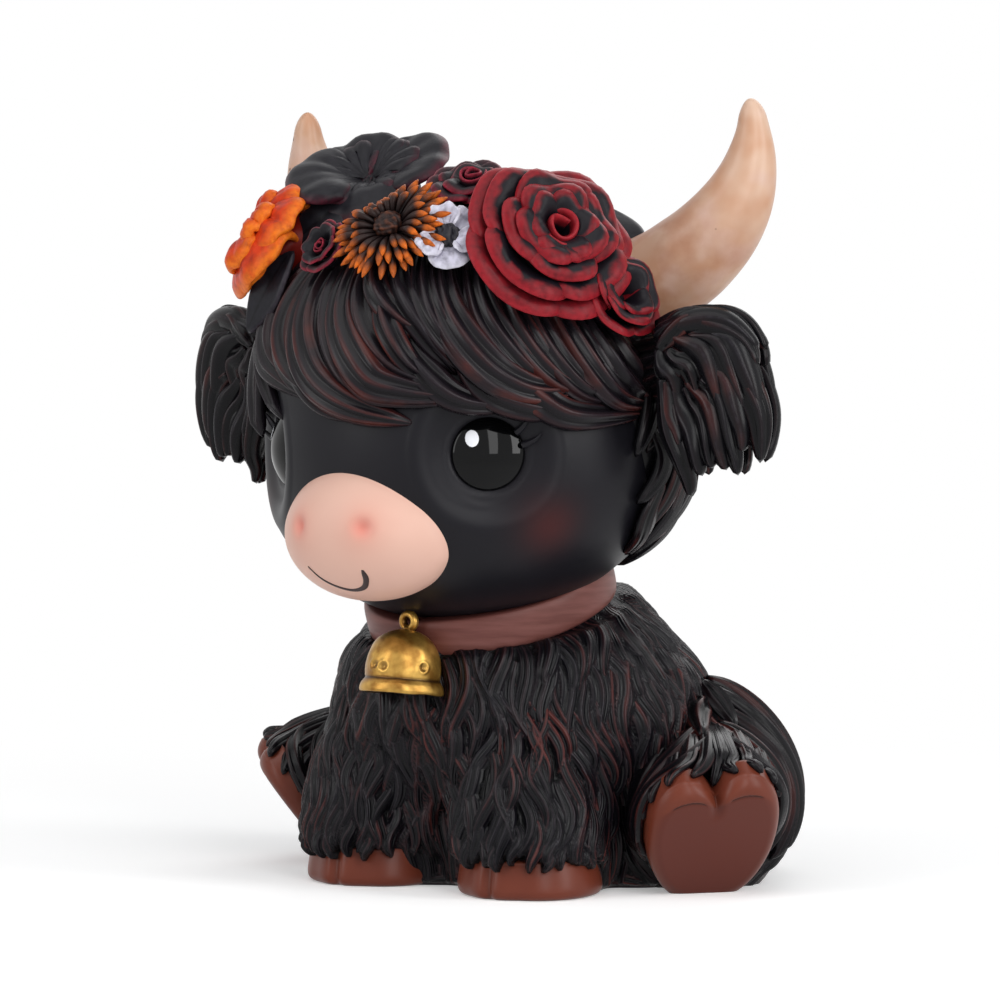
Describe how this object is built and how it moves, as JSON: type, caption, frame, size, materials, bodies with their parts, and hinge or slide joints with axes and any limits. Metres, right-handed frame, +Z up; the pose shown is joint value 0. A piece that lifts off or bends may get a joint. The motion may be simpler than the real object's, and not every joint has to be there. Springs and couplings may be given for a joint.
{
  "type": "cow figurine",
  "caption": "Sitting long-haired calf ornament with horns, a floral crown and a bell on its collar, flat underneath.",
  "frame": {"origin": "on the flat underside, under the middle of the body", "axes": "+Z up through the head; the calf faces -Y and its left side is +X"},
  "size_m": [0.1354, 0.104, 0.15],
  "materials": {
    "dark_fur": "hand-painted resin, near black, dry-brushed red-brown on the raised hair",
    "face_black": "hand-painted resin, smooth matte black with a dark red cheek blush",
    "gloss_black": "black glass, polished",
    "muzzle_pink": "hand-painted resin, satin pale pink",
    "horn_cream": "hand-painted resin, mottled cream with a few pinholes",
    "hoof_brown": "hand-painted resin, satin brown",
    "collar_brown": "hand-painted resin, streaky brown",
    "antique_gold": "cast and painted antique gold with a dark wash",
    "petal_red": "hand-painted resin, deep red with dark creases",
    "petal_dark": "hand-painted resin, near black with dark red and orange edges",
    "petal_orange": "hand-painted resin, orange-red with lighter streaks",
    "petal_white": "hand-painted resin, cool white with a black middle",
    "leaf_black": "hand-painted resin, near black"
  },
  "bodies": {
    "root": {"torso": "dark_fur", "front_leg_left": "dark_fur", "front_leg_right": "dark_fur", "rear_leg_left": "dark_fur", "rear_leg_right": "dark_fur", "back_hair": "dark_fur", "fringe": "dark_fur", "ear_left": "dark_fur", "ear_right": "dark_fur", "tail": "dark_fur", "head": "face_black", "eyelashes_left": "face_black", "eyelashes_right": "face_black", "eye_left": "gloss_black", "eye_right": "gloss_black", "muzzle": "muzzle_pink", "horn_left": "horn_cream", "horn_right": "horn_cream", "front_hoof_left": "hoof_brown", "front_hoof_right": "hoof_brown", "rear_hoof_left": "hoof_brown", "rear_hoof_right": "hoof_brown", "collar": "collar_brown", "bell": "antique_gold", "bell_loop": "antique_gold", "rose_large": "petal_red", "rose_small": "petal_red", "rose_bud": "petal_red", "rose_dark": "petal_dark", "poppy_black": "petal_dark", "gerbera": "petal_dark", "poppy_orange": "petal_orange", "anemone": "petal_white", "crown_leaves": "leaf_black"}
  },
  "joints": []
}
